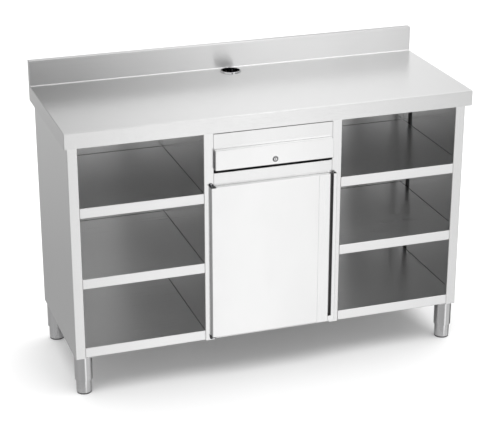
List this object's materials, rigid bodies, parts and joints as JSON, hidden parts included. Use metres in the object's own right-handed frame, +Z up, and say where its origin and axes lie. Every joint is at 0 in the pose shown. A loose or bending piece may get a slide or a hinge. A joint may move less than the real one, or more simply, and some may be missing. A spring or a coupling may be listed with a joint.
{
  "type": "waiter service station",
  "caption": "Stainless steel service counter with a rear upstand, a cable outlet, open shelf bays, a locking drawer, a hinged cupboard and adjustable feet.",
  "frame": {"origin": "on the floor, under the middle of the worktop", "axes": "+X along the worktop to the right as seen from the front, +Y to the back, +Z up; the front faces -Y"},
  "size_m": [1.5, 0.576, 1.093],
  "materials": {
    "worktop_steel": "satin brushed along the length",
    "body_steel": "satin brushed, upright grain",
    "shelf_steel": "satin brushed along the length",
    "front_steel": "satin brushed, upright grain",
    "leg_steel": "satin tube, ground round",
    "zinc_steel": "zinc plated",
    "black_steel": "satin black",
    "lock_chrome": "polished",
    "board_wood": "sealed grey board",
    "black_plastic": "moulded",
    "white_plastic": "moulded",
    "pad_rubber": "matt"
  },
  "bodies": {
    "carcass": {"worktop": "worktop_steel", "worktop_board": "board_wood", "cable_grommet": "worktop_steel", "left_side_panel": "body_steel", "right_side_panel": "body_steel", "left_partition": "body_steel", "right_partition": "body_steel", "back_panel": "body_steel", "back_panel_rivets": "zinc_steel", "left_upper_shelf": "shelf_steel", "left_middle_shelf": "shelf_steel", "left_lower_shelf": "shelf_steel", "right_upper_shelf": "shelf_steel", "right_middle_shelf": "shelf_steel", "right_lower_shelf": "shelf_steel", "cabinet_floor": "shelf_steel", "shelf_stiffeners": "shelf_steel", "left_top_rail": "body_steel", "right_top_rail": "body_steel", "rear_top_rail": "body_steel", "drawer_fascia": "body_steel", "middle_rail": "body_steel", "worktop_screws": "zinc_steel", "leg_plates": "zinc_steel", "leg_bolts": "zinc_steel", "leg_top_plugs": "zinc_steel", "leg_tubes": "leg_steel", "leg_thread_inserts": "black_plastic", "slide_brackets": "zinc_steel", "slide_outer_members": "zinc_steel", "pivot_brackets": "black_steel", "pivot_pins": "zinc_steel", "pivot_washers": "white_plastic", "pivot_screws": "zinc_steel", "door_catch": "white_plastic"},
    "drawer": {"drawer_front_skin": "front_steel", "drawer_front_liner": "front_steel", "drawer_tray": "front_steel", "slide_inner_members": "zinc_steel", "lock_housing": "lock_chrome", "lock_nut": "zinc_steel"},
    "slide_carriage": {"slide_middle_members": "zinc_steel"},
    "lock_core": {"lock_plug": "lock_chrome", "lock_cam": "zinc_steel", "lock_cam_screw": "zinc_steel"},
    "door": {"door_skin": "front_steel", "door_liner": "front_steel", "door_grip": "front_steel", "door_pivot_bushes": "black_plastic", "door_strike": "zinc_steel", "door_buffers": "pad_rubber"},
    "front_left_foot": {"foot_front_left": "leg_steel", "pad_front_left": "pad_rubber"},
    "front_right_foot": {"foot_front_right": "leg_steel", "pad_front_right": "pad_rubber"},
    "rear_left_foot": {"foot_rear_left": "leg_steel", "pad_rear_left": "pad_rubber"},
    "rear_right_foot": {"foot_rear_right": "leg_steel", "pad_rear_right": "pad_rubber"}
  },
  "joints": [
    {"name": "drawer_slide", "type": "slide", "parent": "carcass", "child": "drawer", "axis": [0, -1, 0], "range_m": [0, 0.4]},
    {"name": "carriage_slide", "type": "slide", "parent": "carcass", "child": "slide_carriage", "axis": [0, -1, 0], "range_m": [0, 0.2]},
    {"name": "lock_turn", "type": "hinge", "parent": "drawer", "child": "lock_core", "pos_m": [0, -0.262, 0.8204], "axis": [0, 1, 0], "range_deg": [0, 90]},
    {"name": "door_swing", "type": "hinge", "parent": "carcass", "child": "door", "pos_m": [-0.231, -0.2722, 0.45], "axis": [0, 0, -1], "range_deg": [0, 110]},
    {"name": "front_left_foot_screw", "type": "slide", "parent": "carcass", "child": "front_left_foot", "axis": [0, 0, -1], "range_m": [0, 0.03]},
    {"name": "front_right_foot_screw", "type": "slide", "parent": "carcass", "child": "front_right_foot", "axis": [0, 0, -1], "range_m": [0, 0.03]},
    {"name": "rear_left_foot_screw", "type": "slide", "parent": "carcass", "child": "rear_left_foot", "axis": [0, 0, -1], "range_m": [0, 0.03]},
    {"name": "rear_right_foot_screw", "type": "slide", "parent": "carcass", "child": "rear_right_foot", "axis": [0, 0, -1], "range_m": [0, 0.03]}
  ],
  "couplings": [
    {"joint": "carriage_slide", "follows": "drawer_slide", "ratio": 0.5}
  ]
}
